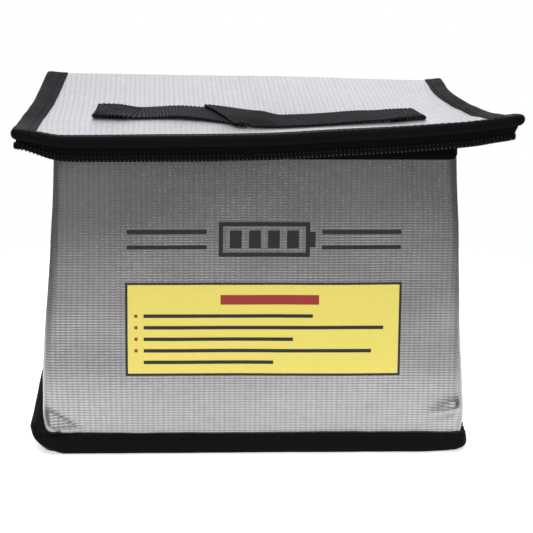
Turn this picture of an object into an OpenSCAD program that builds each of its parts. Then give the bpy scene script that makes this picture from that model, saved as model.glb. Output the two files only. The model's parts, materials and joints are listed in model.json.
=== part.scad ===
// Soft box bag for storing and charging model batteries. Coated glass cloth outside, felt in the
// middle, glass cloth inside. A lid that closes with a two-slider zip folds back over the rear wall.
// Frame: X to the right, Y to the back, Z up. Origin: centre of the base, on the ground. Millimetres.

/* [Bag] */
// Width across the base, without the binding
base_w = 215; // [180:1:240]
// Depth of the base, without the binding
base_d = 145; // [120:1:170]
// Height from the ground to the top face of the lid
bag_h = 167; // [140:1:190]
// How far each side wall leans in by the top
side_lean = 7.5; // [2:0.5:10]
// How far the front wall leans in by the top
front_lean = 6; // [2:0.5:8]
// How far the rear wall leans in by the top
rear_lean = 4; // [2:0.5:6]

/* [Cloth] */
// Thickness of the coated outer cloth
cloth_t = 0.7; // [0.5:0.1:0.9]
// Thickness of the felt between the cloths
felt_t = 1.4; // [1:0.1:2]
// Thickness of the inner lining cloth
lining_t = 0.5; // [0.3:0.1:0.7]
// Thickness of the stiffer felt pad in the base
base_pad_t = 2.5; // [1.5:0.1:4]
// Gap left between sewn layers
seam = 0.1; // [0.05:0.01:0.15]

/* [Bindings] */
// Height of the binding around the base
base_binding_h = 10; // [8:0.5:14]
// How far the base binding stands out at the ground
base_binding_out = 4.5; // [3:0.5:6]
// Width of the binding around the lid
lid_binding_w = 10; // [8:0.5:12]
// Thickness of the binding tape
tape_t = 0.6; // [0.4:0.1:0.8]

/* [Lid] */
// Width of the lid at the rear fold
lid_rear_w = 222; // [212:1:228]
// Width of the lid at the front
lid_front_w = 248; // [230:1:256]
// How far the lid reaches past the base at the front
lid_overhang = 11; // [4:0.5:14]
// Radius of the lid's front corners
lid_corner_r = 12; // [10.5:0.5:18]
// How far the lid's zip tape hangs below the lid
lid_tape_drop = 6; // [5:0.5:8]

/* [Zip] */
// Height of the zip coil
coil_h = 4; // [3.4:0.1:4.4]
// Thickness of the zip coil
coil_t = 2.4; // [2:0.1:2.8]
// Length of each slider along the zip
slider_l = 12; // [10:0.5:14]
// Height of each slider across the zip
slider_h = 10; // [9.6:0.1:10.2]
// Length of each pull tab below its pivot
pull_l = 24; // [18:1:28]
// Width of each pull tab
pull_w = 5; // [4.4:0.1:5.4]

/* [Handle] */
// Width of the handle webbing
strap_w = 25; // [20:1:30]
// Thickness of the handle webbing
strap_t = 1.4; // [1:0.1:1.8]
// Length of the handle from end to end
strap_l = 174; // [150:1:180]
// Length sewn down at each end of the handle
strap_end_l = 26; // [20:1:32]
// Distance of the handle's centre line in front of the bag's centre
strap_y = 26; // [15:1:35]

/* [Print] */
// Width of the coloured panel on the front
label_w = 140; // [100:1:150]
// Height of the coloured panel
label_h = 49; // [40:1:55]
// Height of the coloured panel's centre above the ground
label_z = 66; // [55:1:75]
// Height of the dark battery mark's centre above the ground
mark_z = 113; // [108:1:120]
// Thickness of the printed film
print_t = 0.12; // [0.1:0.01:0.2]

/* [Hidden] */

$fn = 48;
eps = 0.01;

// Levels of the layers
felt_in = cloth_t + seam;
lining_in = felt_in + felt_t + seam;
inner_in = lining_in + lining_t;
wall_z0 = cloth_t + seam;
pad_z0 = cloth_t + seam;
floor_z0 = pad_z0 + base_pad_t + seam;
lining_z0 = floor_z0 + lining_t + seam;
lid_top = bag_h;
lid_cloth_z0 = lid_top - cloth_t;
lid_felt_z0 = lid_cloth_z0 - seam - felt_t;
lid_lining_z0 = lid_felt_z0 - seam - lining_t;
lid_binding_z0 = lid_lining_z0 - 0.05 - tape_t;

// Levels of the zip and of the rim of the walls
slider_top = lid_binding_z0 - 0.4;
coil_z = slider_top - slider_h / 2 - 0.5;
tape_top = coil_z - coil_h / 2 - 0.05;
tape_h = 3;
cloth_top = tape_top - tape_h - seam;
rim_top = cloth_top - 3;
back_top = lid_lining_z0 - 6;

// Outline of the lid
lid_front_y = -(base_d / 2 + lid_overhang);
hinge_y = base_d / 2 - rear_lean + 0.1;
roll_r = 0.9;
lid_rear_y = hinge_y - roll_r - 0.1;
lid_tape_in = 2.5;
lid_tape_t = 0.8;

// Run of the body's zip
zip_r = 8;
zip_in = side_x(cloth_top) + seam;
zip_front = -front_y(cloth_top) + seam;
zip_t = 0.8;
zip_x = zip_in + zip_t / 2;
zip_end_y = hinge_y - 5;
stop_l = 2.5;
slider_y = zip_end_y - stop_l - slider_l / 2 - 1;

// Slider and pull
plate_t = 0.8;
wedge_l = 4;
plate_gap = coil_t / 2 + 0.3;
bail_r = 0.6;
bail_span = 6;
eye_r = 0.7;
tab_t = 1.2;
tab_gap = 0.25;
strap_z0 = lid_top + 0.1;
lean_angle = atan(front_lean / bag_h);
print_x = 4;

// Half width of the outer cloth at height z, and the faces of the front and rear walls there
function side_x(z) = base_w / 2 - side_lean * z / bag_h;
function front_y(z) = -base_d / 2 + front_lean * z / bag_h;
function back_y(z) = base_d / 2 - rear_lean * z / bag_h;

// Four points of the layer between depths a and b, for one wall at height z
function front_section(z, a, b) = [
    [-side_x(z) + a + seam, front_y(z) + a], [side_x(z) - a - seam, front_y(z) + a],
    [side_x(z) - b - seam, front_y(z) + b], [-side_x(z) + b + seam, front_y(z) + b]
];
function back_section(z, a, b) = [
    [-side_x(z) + b + seam, back_y(z) - b], [side_x(z) - b - seam, back_y(z) - b],
    [side_x(z) - a - seam, back_y(z) - a], [-side_x(z) + a + seam, back_y(z) - a]
];
function right_section(z, a, b) = [
    [side_x(z) - b, front_y(z) + b + seam], [side_x(z) - a, front_y(z) + a + seam],
    [side_x(z) - a, back_y(z) - a - seam], [side_x(z) - b, back_y(z) - b - seam]
];

// Half width of the lid at depth y, moved in from the edge by d
lid_slope = (lid_front_w - lid_rear_w) / 2 / (lid_rear_y - lid_front_y);
lid_angle = atan(lid_slope);
function lid_x(y, d) = lid_rear_w / 2 + (lid_rear_y - y) * lid_slope - d / cos(lid_angle);

// Outline of the lid moved in by d, with its rear edge at rear, from rear left round to rear right
function lid_outline(d, rear) =
    let (
        r = max(lid_corner_r - d, 0.5),
        cy = lid_front_y + d + r,
        cx = lid_x(cy, d) - r / cos(lid_angle),
        turn = 90 + lid_angle
    )
    concat(
        [[-lid_x(rear, d), rear]],
        [for (i = [0:8]) [-cx - r * cos(lid_angle - turn * i / 8), cy + r * sin(lid_angle - turn * i / 8)]],
        [for (i = [8:-1:0]) [cx + r * cos(lid_angle - turn * i / 8), cy + r * sin(lid_angle - turn * i / 8)]],
        [[lid_x(rear, d), rear]]
    );

// Outline of the zip run moved out by d, from the rear left round the front to the rear right
function zip_outline(d, rear) =
    let (r = zip_r + d, cx = zip_in - zip_r, cy = -zip_front + zip_r)
    concat(
        [[-cx - r, rear]],
        [for (i = [0:8]) [-cx - r * cos(90 * i / 8), cy - r * sin(90 * i / 8)]],
        [for (i = [8:-1:0]) [cx + r * cos(90 * i / 8), cy - r * sin(90 * i / 8)]],
        [[cx + r, rear]]
    );

function backwards(points) = [for (i = [len(points) - 1:-1:0]) points[i]];

// Closed solid between two outlines with the same number of points
module loft(low, high, z0, z1) {
    n = len(low);
    points = concat([for (p = low) [p[0], p[1], z0]], [for (p = high) [p[0], p[1], z1]]);
    sides = [for (i = [0:n - 1]) [i, (i + 1) % n, n + (i + 1) % n, n + i]];
    floor_face = [for (i = [n - 1:-1:0]) i];
    roof_face = [for (i = [0:n - 1]) n + i];
    polyhedron(points, [for (f = concat([floor_face, roof_face], sides)) backwards(f)], convexity = 4);
}

module front_wall(a, b, z0, z1) {
    loft(front_section(z0, a, b), front_section(z1, a, b), z0, z1);
}

module back_wall(a, b, z0, z1) {
    loft(back_section(z0, a, b), back_section(z1, a, b), z0, z1);
}

module right_wall(a, b, z0, z1) {
    loft(right_section(z0, a, b), right_section(z1, a, b), z0, z1);
}

module left_wall(a, b, z0, z1) {
    mirror([1, 0, 0]) right_wall(a, b, z0, z1);
}

// Flat block centred on x and y
module plate(w, d, z0, z1) {
    translate([-w / 2, -d / 2, z0]) cube([w, d, z1 - z0]);
}

// Band that follows the lid's edge on three sides, between insets a and b
module lid_band(a, b, rear, z0, z1) {
    translate([0, 0, z0])
        linear_extrude(z1 - z0)
            polygon(concat(lid_outline(a, rear), backwards(lid_outline(b, rear))));
}

// Band that follows the zip on three sides, between offsets a and b
module zip_band(a, b, rear, z0, z1) {
    translate([0, 0, z0])
        linear_extrude(z1 - z0)
            polygon(concat(zip_outline(b, rear), backwards(zip_outline(a, rear))));
}

// Ring of a section around a rectangle with square corners, turning about each corner
module ring(w, d) {
    for (s = [0, 1]) mirror([s, 0, 0]) {
        translate([w / 2, d / 2, 0]) rotate([90, 0, 0]) linear_extrude(d) children();
        for (t = [0, 1]) mirror([0, t, 0])
            translate([w / 2, d / 2, 0]) rotate_extrude(angle = 90) children();
    }
    for (t = [0, 1]) mirror([0, t, 0])
        translate([-w / 2, d / 2, 0]) rotate([90, 0, 90]) linear_extrude(w) children();
}

// Everything in the frame of the leaning front face: its own X and Z, with -Y out of the face
module on_front(z) {
    translate([print_x, -base_d / 2, 0]) rotate([-lean_angle, 0, 0]) translate([0, 0, z]) children();
}

module printed(w, h) {
    translate([-w / 2, -0.05 - print_t, -h / 2]) cube([w, print_t, h]);
}

module base_panel() {
    color("silver") plate(base_w - 2 * seam, base_d - 2 * seam, 0, cloth_t);
}

module front_panel() {
    color("silver") front_wall(0, cloth_t, wall_z0, cloth_top);
}

module back_panel() {
    color("silver") back_wall(0, cloth_t, wall_z0, back_top);
}

module left_side_panel() {
    color("silver") left_wall(0, cloth_t, wall_z0, cloth_top);
}

module right_side_panel() {
    color("silver") right_wall(0, cloth_t, wall_z0, cloth_top);
}

module base_pad() {
    pad_in = 2 * (lining_in + 0.3);
    color("gainsboro") plate(base_w - pad_in, base_d - pad_in, pad_z0, floor_z0 - seam);
}

module front_felt() {
    color("gainsboro") front_wall(felt_in, felt_in + felt_t, wall_z0, rim_top);
}

module back_felt() {
    color("gainsboro") back_wall(felt_in, felt_in + felt_t, wall_z0, rim_top);
}

module left_side_felt() {
    color("gainsboro") left_wall(felt_in, felt_in + felt_t, wall_z0, rim_top);
}

module right_side_felt() {
    color("gainsboro") right_wall(felt_in, felt_in + felt_t, wall_z0, rim_top);
}

module base_lining() {
    lining_gap = 2 * (lining_in + 0.3);
    color("lightgray") plate(base_w - lining_gap, base_d - lining_gap, floor_z0, floor_z0 + lining_t);
}

module front_lining() {
    color("lightgray") front_wall(lining_in, inner_in, lining_z0, rim_top);
}

module back_lining() {
    color("lightgray") back_wall(lining_in, inner_in, lining_z0, rim_top);
}

module left_side_lining() {
    color("lightgray") left_wall(lining_in, inner_in, lining_z0, rim_top);
}

module right_side_lining() {
    color("lightgray") right_wall(lining_in, inner_in, lining_z0, rim_top);
}

// L-shaped tape that leans with the two walls of the inside corner at x and y
module corner_tape(y, lean) {
    w = 8;
    t = 0.4;
    z0 = lining_z0 + 1;
    x = side_x(z0) - inner_in - 0.15;
    translate([x, y - inner_in - 0.15, z0])
        rotate([atan(lean / bag_h), -atan(side_lean / bag_h), 0])
            linear_extrude(rim_top - 13 - z0)
                polygon([[-w, -t], [-t, -t], [-t, -w], [0, -w], [0, 0], [-w, 0]]);
}

module corner_seam_tapes() {
    z0 = lining_z0 + 1;
    color("black")
        for (s = [0, 1]) mirror([s, 0, 0]) {
            corner_tape(back_y(z0), rear_lean);
            mirror([0, 1, 0]) corner_tape(-front_y(z0), front_lean);
        }
}

// Folded tape over the seam between the walls and the base: upright at the top, flared at the ground
module base_binding() {
    color("black")
        ring(base_w, base_d)
            polygon([
                [0.15, 0], [base_binding_out, 0], [base_binding_out, 1.2],
                [base_binding_out * 0.7, base_binding_h * 0.45], [1.1, base_binding_h], [0.15, base_binding_h]
            ]);
}

module base_binding_thread() {
    z = base_binding_h * 0.68;
    x = 1.1 + (base_binding_out * 0.7 - 1.1) * (base_binding_h - z) / (base_binding_h * 0.55);
    color("dimgray")
        ring(base_w, base_d)
            polygon([[x + 0.12, z - 0.2], [x + 0.42, z - 0.2], [x + 0.32, z + 0.2], [x + 0.12, z + 0.2]]);
}

// Tape folded over the raw top edge of the felt and the lining, inside the cloth
module rim_binding() {
    x0 = side_x(rim_top) - inner_in - 0.1 - tape_t;
    f0 = -front_y(rim_top) - inner_in - 0.1 - tape_t;
    b0 = back_y(rim_top) - inner_in - 0.1 - tape_t;
    cover = inner_in - cloth_t;
    leg = 10;
    color("black")
        difference() {
            union() {
                translate([-x0 - tape_t, -f0 - tape_t, rim_top - leg])
                    cube([2 * (x0 + tape_t), f0 + b0 + 2 * tape_t, leg + 0.05 + tape_t]);
                translate([-x0 - cover, -f0 - cover, rim_top + 0.05])
                    cube([2 * (x0 + cover), f0 + b0 + 2 * cover, tape_t]);
            }
            translate([-x0, -f0, rim_top - leg - 1]) cube([2 * x0, f0 + b0, leg + 4]);
        }
}

module rim_binding_thread() {
    x0 = side_x(rim_top) - inner_in - 0.1 - tape_t - 0.05;
    f0 = -front_y(rim_top) - inner_in - 0.1 - tape_t - 0.05;
    b0 = back_y(rim_top) - inner_in - 0.1 - tape_t - 0.05;
    t = 0.3;
    z = rim_top - 7;
    color("dimgray")
        difference() {
            translate([-x0, -f0, z]) cube([2 * x0, f0 + b0, 0.4]);
            translate([t - x0, t - f0, z - 1]) cube([2 * (x0 - t), f0 + b0 - 2 * t, 3]);
        }
}

module body_zip_tape() {
    color("black") zip_band(0, zip_t, zip_end_y, tape_top - tape_h, tape_top);
}

module body_zip_coil() {
    a = (zip_t - coil_t) / 2;
    color("black")
        zip_band(a, a + coil_t, zip_end_y - stop_l - 0.1, coil_z - coil_h / 2, coil_z + coil_h / 2);
}

module body_zip_stops() {
    size = coil_t + 0.4;
    color("dimgray")
        for (s = [-1, 1])
            translate([s * zip_x - size / 2, zip_end_y - stop_l, coil_z - coil_h / 2])
                cube([size, stop_l, coil_h]);
}

// Printed panel: plain colour with a frame, a heading bar and line bars
module front_label() {
    color("khaki") on_front(label_z) printed(label_w, label_h);
}

// Printed battery mark: an outlined cell with a terminal and charge bars between two rules
module front_mark() {
    w = 46;
    h = 18;
    line = 2.2;
    bar = 6;
    rule = 40;
    color("black")
        on_front(mark_z) {
            difference() {
                printed(w, h);
                translate([0, 0.5, 0]) scale([1, 10, 1]) printed(w - 2 * line, h - 2 * line);
            }
            translate([w / 2 + 1.4, 0, 0]) printed(2.8, h * 0.45);
            for (i = [-1.5:1:1.5]) translate([i * 9.6, 0, 0]) printed(bar, h - 4 * line);
            for (s = [-1, 1]) translate([s * (w / 2 + 6 + rule / 2), 0, 0]) {
                translate([0, 0, 4]) printed(rule, line);
                translate([0, 0, -4]) printed(rule, line);
            }
        }
}

// Roll of cloth on the hinge line with a skirt that is sewn to the rear wall
module hinge_fold() {
    color("silver") {
        translate([-base_w / 2 + side_lean + 2, hinge_y, lid_top])
            rotate([0, 90, 0]) cylinder(r = roll_r, h = base_w - 2 * side_lean - 4);
        translate([-base_w / 2 + side_lean + 2, hinge_y - cloth_t, back_top + 0.05])
            cube([base_w - 2 * side_lean - 4, cloth_t, lid_top - back_top - roll_r / 2]);
    }
}

module lid_sheet(z0, z1) {
    translate([0, 0, z0]) linear_extrude(z1 - z0) polygon(lid_outline(tape_t + 0.05, lid_rear_y));
}

module lid_panel() {
    color("silver") lid_sheet(lid_cloth_z0, lid_top);
}

module lid_felt() {
    color("gainsboro") lid_sheet(lid_felt_z0, lid_felt_z0 + felt_t);
}

module lid_lining() {
    color("lightgray") lid_sheet(lid_lining_z0, lid_lining_z0 + lining_t);
}

// Tape folded over the lid's edge on three sides
module lid_binding() {
    color("black") {
        lid_band(0, tape_t, lid_rear_y, lid_binding_z0, lid_top + 0.05 + tape_t);
        lid_band(tape_t - eps, lid_binding_w, lid_rear_y, lid_top + 0.05, lid_top + 0.05 + tape_t);
        lid_band(tape_t - eps, lid_binding_w, lid_rear_y, lid_binding_z0, lid_binding_z0 + tape_t);
    }
}

module lid_binding_thread() {
    z = lid_top + 0.05 + tape_t + 0.05;
    color("dimgray") lid_band(lid_binding_w - 1.8, lid_binding_w - 1.4, lid_rear_y - 1, z, z + 0.3);
}

module lid_zip_tape() {
    color("black")
        lid_band(lid_tape_in, lid_tape_in + lid_tape_t, zip_end_y,
            lid_binding_z0 - lid_tape_drop, lid_binding_z0 - 0.05);
}

module lid_zip_coil() {
    a = lid_tape_in + lid_tape_t / 2 - coil_t / 2;
    z1 = lid_binding_z0 - lid_tape_drop - 0.05;
    color("black") lid_band(a, a + coil_t, zip_end_y - stop_l - 0.1, z1 - coil_h, z1);
}

module lid_zip_stops() {
    size = coil_t + 0.4;
    z1 = lid_binding_z0 - lid_tape_drop - 0.05;
    x = lid_x(zip_end_y, lid_tape_in + lid_tape_t / 2);
    color("dimgray")
        for (s = [-1, 1])
            translate([s * x - size / 2, zip_end_y - stop_l, z1 - coil_h]) cube([size, stop_l, coil_h]);
}

// Length of webbing lying on the lid, from x0 to x1
module webbing(x0, x1) {
    translate([x0, -strap_y - strap_w / 2, strap_z0]) cube([x1 - x0, strap_w, strap_t]);
}

module handle_left_end() {
    color("dimgray") webbing(print_x - strap_l / 2, print_x - strap_l / 2 + strap_end_l);
}

module handle_right_end() {
    color("dimgray") webbing(print_x + strap_l / 2 - strap_end_l, print_x + strap_l / 2);
}

module handle_strap() {
    free = strap_l / 2 - strap_end_l - 0.3;
    color("dimgray") webbing(print_x - free, print_x + free);
}

// Box of stitches with a cross, one on each sewn end
module handle_stitches() {
    w = strap_end_l - 6;
    d = strap_w - 6;
    t = 0.6;
    h = 0.3;
    diagonal = sqrt(w * w + d * d) - 2 * t;
    z = strap_z0 + strap_t + 0.05;
    color("black")
        for (s = [-1, 1])
            translate([print_x + s * (strap_l - strap_end_l) / 2, -strap_y, z]) {
                difference() {
                    plate(w, d, 0, h);
                    plate(w - 2 * t, d - 2 * t, -1, h + 1);
                }
                for (a = [-1, 1]) rotate([0, 0, a * atan(d / w)]) plate(diagonal, t, 0, h);
            }
}

// Slider on the right side of the zip: two plates, a wedge that joins them, lips and a bail
module slider() {
    outer = plate_gap + plate_t;
    bail_x = outer + tab_gap + tab_t + tab_gap;
    color("black")
        translate([zip_x, slider_y, slider_top - slider_h / 2]) {
            for (s = [0, 1]) mirror([s, 0, 0]) {
                translate([plate_gap, -slider_l / 2, -slider_h / 2]) cube([plate_t, slider_l, slider_h]);
                translate([zip_t / 2 + 0.25, -slider_l / 2, -slider_h / 2])
                    cube([plate_gap - zip_t / 2, slider_l, 1]);
            }
            translate([-plate_gap - eps, -wedge_l / 2, coil_h / 2])
                cube([2 * (plate_gap + eps), wedge_l, slider_h / 2 - coil_h / 2]);
            for (y = [-bail_span / 2, bail_span / 2])
                translate([outer - eps, y, 0]) rotate([0, 90, 0])
                    cylinder(r = bail_r, h = bail_x - outer + 2 * eps);
            translate([bail_x, -bail_span / 2 - bail_r, -bail_r]) cube([1, bail_span + 2 * bail_r, 2 * bail_r]);
        }
}

// Pull tab that hangs from the front post of the bail
module pull() {
    x = zip_x + plate_gap + plate_t + tab_gap;
    color("black")
        translate([x, slider_y - bail_span / 2, slider_top - slider_h / 2])
            rotate([0, 90, 0])
                difference() {
                    union() {
                        cylinder(r = pull_w / 2, h = tab_t);
                        translate([0, -pull_w / 2, 0]) cube([pull_l - pull_w / 2, pull_w, tab_t]);
                        translate([pull_l - pull_w / 2, 0, 0]) cylinder(r = pull_w / 2, h = tab_t);
                    }
                    translate([0, 0, -1]) cylinder(r = eye_r, h = tab_t + 2);
                    translate([pull_l - pull_w / 2, 0, -1]) cylinder(r = 1.2, h = tab_t + 2);
                }
}

module right_slider() {
    slider();
}

module right_pull() {
    pull();
}

module left_slider() {
    mirror([1, 0, 0]) slider();
}

module left_pull() {
    mirror([1, 0, 0]) pull();
}

base_panel();
front_panel();
back_panel();
left_side_panel();
right_side_panel();
base_pad();
front_felt();
back_felt();
left_side_felt();
right_side_felt();
base_lining();
front_lining();
back_lining();
left_side_lining();
right_side_lining();
corner_seam_tapes();
base_binding();
base_binding_thread();
rim_binding();
rim_binding_thread();
body_zip_tape();
body_zip_coil();
body_zip_stops();
front_label();
front_mark();
hinge_fold();
lid_panel();
lid_felt();
lid_lining();
lid_binding();
lid_binding_thread();
lid_zip_tape();
lid_zip_coil();
lid_zip_stops();
handle_left_end();
handle_right_end();
handle_stitches();
handle_strap();
left_slider();
left_pull();
right_slider();
right_pull();
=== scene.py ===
"""Looks of a soft fire-resistant bag for batteries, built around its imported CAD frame.

Lengths inside the script are millimetres; meshes are written in metres. The frame's axes are kept:
X to the right, Y to the back, Z up, with the origin at the centre of the base.
"""
import json
import math

import bmesh
import bpy
import numpy as np
from mathutils import Matrix, Vector, noise


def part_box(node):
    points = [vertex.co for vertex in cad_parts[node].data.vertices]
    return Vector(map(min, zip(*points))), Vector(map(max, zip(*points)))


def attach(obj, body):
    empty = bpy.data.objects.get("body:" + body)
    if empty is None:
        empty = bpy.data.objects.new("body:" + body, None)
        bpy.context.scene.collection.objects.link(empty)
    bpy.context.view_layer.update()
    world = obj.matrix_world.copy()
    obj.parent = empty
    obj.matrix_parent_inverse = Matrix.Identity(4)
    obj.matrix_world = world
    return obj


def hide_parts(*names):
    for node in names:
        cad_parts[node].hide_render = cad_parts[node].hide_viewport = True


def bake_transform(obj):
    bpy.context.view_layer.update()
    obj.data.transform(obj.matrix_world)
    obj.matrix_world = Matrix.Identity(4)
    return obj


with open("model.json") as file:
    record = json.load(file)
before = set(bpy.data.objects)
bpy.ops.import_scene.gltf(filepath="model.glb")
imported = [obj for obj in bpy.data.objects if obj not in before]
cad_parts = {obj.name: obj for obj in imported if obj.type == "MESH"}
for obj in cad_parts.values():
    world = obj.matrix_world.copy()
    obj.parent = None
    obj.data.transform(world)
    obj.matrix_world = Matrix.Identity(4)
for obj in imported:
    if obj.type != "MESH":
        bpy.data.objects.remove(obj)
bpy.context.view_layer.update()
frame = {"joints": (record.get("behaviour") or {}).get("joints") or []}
MM = 0.001


def box_mm(node):
    """Lowest and highest corner of a CAD node, in millimetres."""
    low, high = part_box(node)
    return np.array(low) / MM, np.array(high) / MM


# ---------------------------------------------------------------- sizes taken from the frame

BASE_HIGH = box_mm("base_panel")[1]
WALL_HIGH = box_mm("front_panel")[1]
BACK_HIGH = box_mm("back_panel")[1]
ZIP_LOW, ZIP_HIGH = box_mm("body_zip_tape")
COIL_LOW, COIL_HIGH = box_mm("body_zip_coil")
LID_HIGH = box_mm("lid_panel")[1]
LID_BINDING_LOW, LID_BINDING_HIGH = box_mm("lid_binding")
LID_TAPE_HIGH = box_mm("lid_zip_tape")[1]
LID_COIL_LOW, LID_COIL_HIGH = box_mm("lid_zip_coil")
STRAP_LOW, STRAP_HIGH = box_mm("handle_strap")
STRAP_LEFT_LOW, STRAP_LEFT_HIGH = box_mm("handle_left_end")
STRAP_RIGHT_LOW, STRAP_RIGHT_HIGH = box_mm("handle_right_end")
LABEL_LOW, LABEL_HIGH = box_mm("front_label")
MARK_LOW, MARK_HIGH = box_mm("front_mark")
HINGE = next(j for j in frame["joints"] if j["name"] == "lid_hinge")
HINGE_Y = HINGE["pos_m"][1] / MM
LID_Z = HINGE["pos_m"][2] / MM

BASE_HALF_W = BASE_HIGH[0] + 0.1
BASE_HALF_D = BASE_HIGH[1] + 0.1
CLOTH_TOP = WALL_HIGH[2] + 1.5
TOP_HALF_W = ZIP_HIGH[0] - 0.4
TOP_FRONT = -ZIP_LOW[1] - 0.4
BACK_TOP = BACK_HIGH[2]
LID_FRONT = -LID_BINDING_LOW[1]
LID_REAR = LID_BINDING_HIGH[1]
LID_FRONT_HALF = LID_BINDING_HIGH[0]
LID_LENGTH = LID_REAR + LID_FRONT
LID_NARROWING = 13
LID_SPREAD = 0.93
LID_SLOPE = LID_NARROWING / LID_LENGTH
LID_REAR_HALF = LID_FRONT_HALF - LID_NARROWING * LID_SPREAD

PADDING_TOP = box_mm("front_felt")[1][2]
CLOTH_T = 0.7
LID_RADIUS = 5.0
LID_RISE = 1.2
FELT = (0.8, 2.2)
LINING = (2.3, 2.8)
WALL_RADIUS = 4.5
RIB = 1.7
STITCH_RINGS = 7
STITCH_SIDES = 6


# ---------------------------------------------------------------- mesh helpers

def smooth(t):
    """Smooth step from 0 to 1 of a value or an array."""
    t = np.clip(t, 0.0, 1.0)
    return t * t * (3 - 2 * t)


def bump(x, centre, width):
    """Bell curve of height 1."""
    return np.exp(-((x - centre) / width) ** 2)


def ripple(points, scale, seed):
    """Soft noise from -1 to 1 at each point, with features about `scale` long."""
    shift = Vector((seed * 17.3, seed * 5.1, seed * 9.7))
    values = [noise.noise(Vector(p) / scale + shift) for p in points.reshape(-1, 3)]
    return np.reshape(values, points.shape[:-1])


def lengths_along(path):
    """Distance of each point of a polyline from its start."""
    return np.concatenate([[0], np.cumsum(np.linalg.norm(np.diff(path, axis=0), axis=1))])


def unit(vectors):
    """Vectors of length 1 with the same directions."""
    return vectors / np.linalg.norm(vectors, axis=-1)[..., None]


def plaid(first, second):
    """Grid of pairs: every value of the first list with every value of the second."""
    return np.stack(np.meshgrid(first, second, indexing="ij"), -1)


def round_rings(path, side, up, radius, count):
    """Circles round the points of a path; side and up span each circle's plane."""
    angles = np.linspace(0, 2 * math.pi, count, endpoint=False)[None, :, None]
    return path[:, None] + radius * (np.cos(angles) * side[:, None] + np.sin(angles) * up[:, None])


def enlist(obj, slot, *nodes, body=None):
    """Enters a finished piece in the frame: its body and the CAD nodes it replaces; its kind of material
    (slot) is not used.
    """
    if body:
        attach(obj, body)
    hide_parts(*nodes)


def add_object(name, verts, faces, material, weave=None):
    """Object from points in millimetres; weave gives each point its place on the cloth in millimetres."""
    mesh = bpy.data.meshes.new(name)
    mesh.from_pydata((np.asarray(verts).reshape(-1, 3) * MM).tolist(), [], faces)
    mesh.validate()
    obj = bpy.data.objects.new(name, mesh)
    bpy.context.scene.collection.objects.link(obj)
    if weave is not None:
        layer = mesh.attributes.new("weave", "FLOAT_VECTOR", "POINT")
        values = np.zeros((len(mesh.vertices), 3), np.float32)
        values[:, :2] = np.asarray(weave).reshape(-1, 2)
        layer.data.foreach_set("vector", values.ravel())
    mesh.materials.append(material)
    mesh.polygons.foreach_set("use_smooth", [True] * len(mesh.polygons))
    mesh.update()
    return obj


def grid_faces(rows, columns, start=0, closed=False, flip=False):
    """Quads of a grid of points stored row by row; closed joins the last column to the first."""
    faces = []
    span = columns if closed else columns - 1
    for i in range(rows - 1):
        for j in range(span):
            k = (j + 1) % columns
            quad = (i * columns + j, (i + 1) * columns + j, (i + 1) * columns + k, i * columns + k)
            faces.append(tuple(start + v for v in (reversed(quad) if flip else quad)))
    return faces


def slab(name, outer, inner, material, weave):
    """Closed solid between two grids of points, the outer one first."""
    rows, columns = outer.shape[:2]
    count = rows * columns
    faces = grid_faces(rows, columns, flip=True) + grid_faces(rows, columns, start=count)
    edge = list(range(columns))
    edge += [i * columns + columns - 1 for i in range(1, rows)]
    edge += [(rows - 1) * columns + j for j in range(columns - 2, -1, -1)]
    edge += [i * columns for i in range(rows - 2, 0, -1)]
    for a, b in zip(edge, edge[1:] + edge[:1]):
        faces.append((a, b, count + b, count + a))
    verts = np.concatenate([outer.reshape(-1, 3), inner.reshape(-1, 3)])
    both = np.concatenate([weave.reshape(-1, 2)] * 2)
    obj = add_object(name, verts, faces, material, both)
    fix_normals(obj)
    sharpen(obj)
    return obj


def fix_normals(obj, weld=None):
    """Turns every face of a closed mesh outwards, after joining points closer than weld."""
    shape = bmesh.new()
    shape.from_mesh(obj.data)
    if weld:
        bmesh.ops.remove_doubles(shape, verts=shape.verts, dist=weld)
    bmesh.ops.recalc_face_normals(shape, faces=shape.faces)
    shape.to_mesh(obj.data)
    shape.free()


def sharpen(obj, degrees=50):
    """Smooth shading that stays crisp at edges sharper than the angle."""
    obj.data.set_sharp_from_angle(angle=math.radians(degrees))


def tube(name, rings, material, weave=None, loop=False):
    """Closed tube through rings of points: rings[i][j] is point j of section i."""
    count, sides = rings.shape[:2]
    if loop:
        faces = [tuple(v % (count * sides) for v in f) for f in grid_faces(count + 1, sides, closed=True)]
    else:
        faces = grid_faces(count, sides, closed=True)
        faces.append(tuple(range(sides)))
        faces.append(tuple((count - 1) * sides + j for j in reversed(range(sides))))
    obj = add_object(name, rings, faces, material, weave)
    fix_normals(obj)
    return obj


def merge(name, objects):
    """One object from several, keeping each one's materials."""
    target = objects[0]
    chosen = {"selected_objects": objects, "selected_editable_objects": objects}
    with bpy.context.temp_override(active_object=target, object=target, **chosen):
        bpy.ops.object.join()
    target.name = name
    target.data.name = name
    return target


def resample(path, step):
    """Points along a polyline at even steps, with their distances from its start."""
    path = np.asarray(path, float)
    lengths = lengths_along(path)
    count = max(2, int(round(lengths[-1] / step)) + 1)
    at = np.linspace(0, lengths[-1], count)
    return np.stack([np.interp(at, lengths, path[:, k]) for k in range(path.shape[1])], -1), at


def tangents(path):
    """Unit direction of a polyline at each of its points."""
    return unit(np.gradient(path, axis=0))


# ---------------------------------------------------------------- node helpers

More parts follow.
